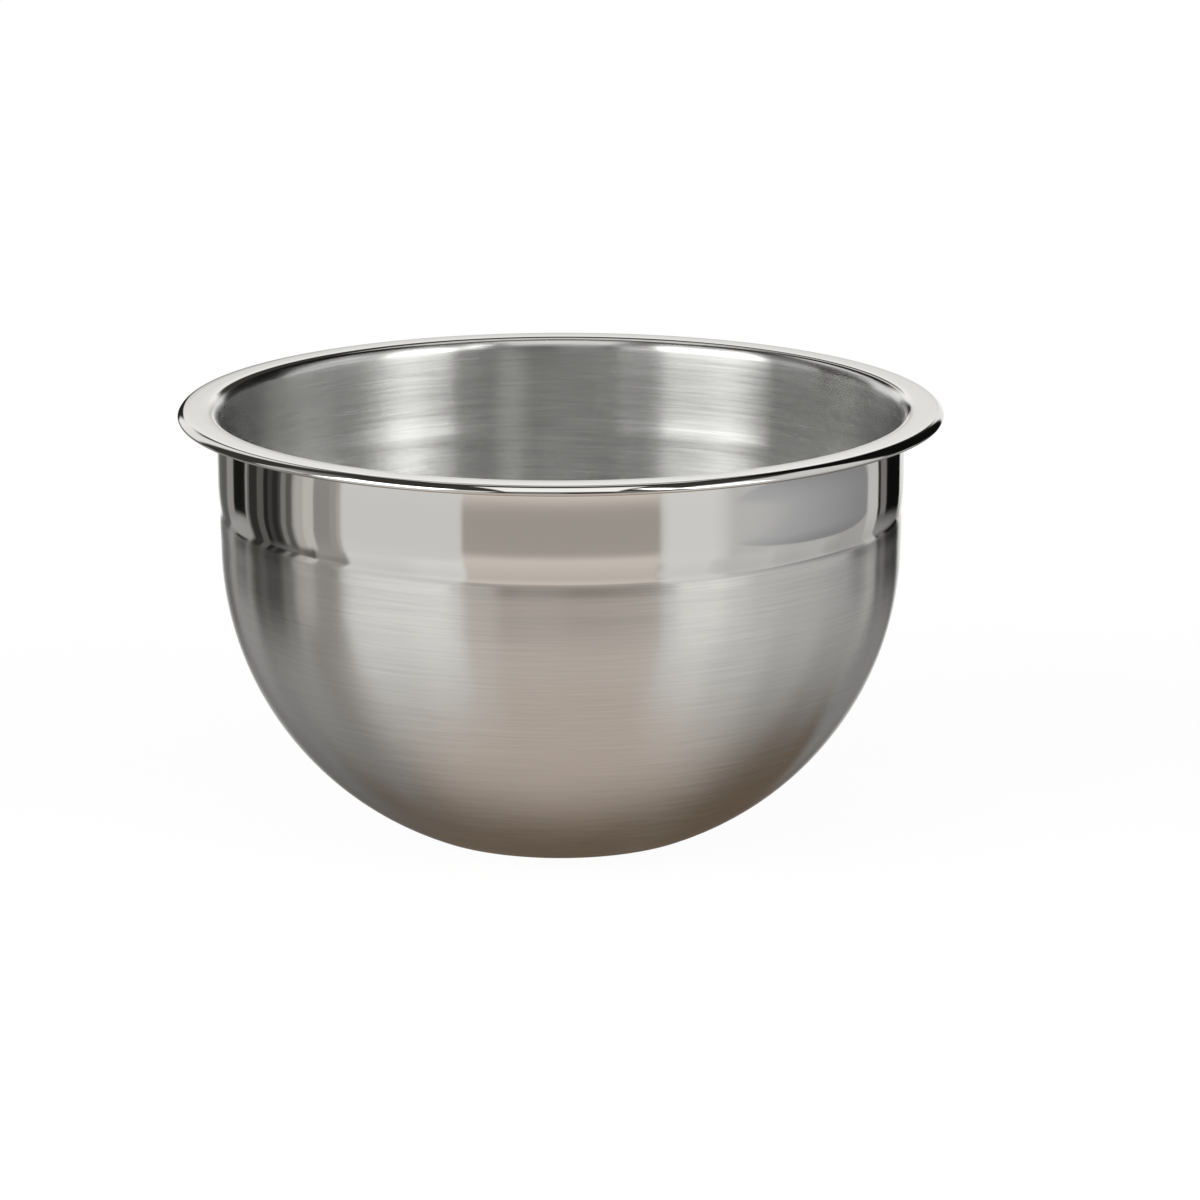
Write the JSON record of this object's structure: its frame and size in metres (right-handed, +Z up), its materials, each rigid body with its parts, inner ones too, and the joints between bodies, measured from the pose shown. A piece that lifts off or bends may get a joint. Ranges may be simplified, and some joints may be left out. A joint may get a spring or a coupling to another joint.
{
  "type": "mixing bowl",
  "caption": "Deep round steel mixing bowl: flat base, rounded belly, a step below an upright collar, and a flat flange rim rolled down at the edge.",
  "frame": {"origin": "centre of the flat base, on the plane the bowl stands on", "axes": "+Z up along the bowl's axis; the bowl is round, so +X and +Y point nowhere special"},
  "size_m": [0.269, 0.269, 0.151],
  "materials": {
    "steel": "mirror polished on the rim and the outside of the collar, satin with fine circular brushing on the belly outside and all over the inside"
  },
  "bodies": {
    "root": {"bowl_shell": "steel"}
  },
  "joints": []
}
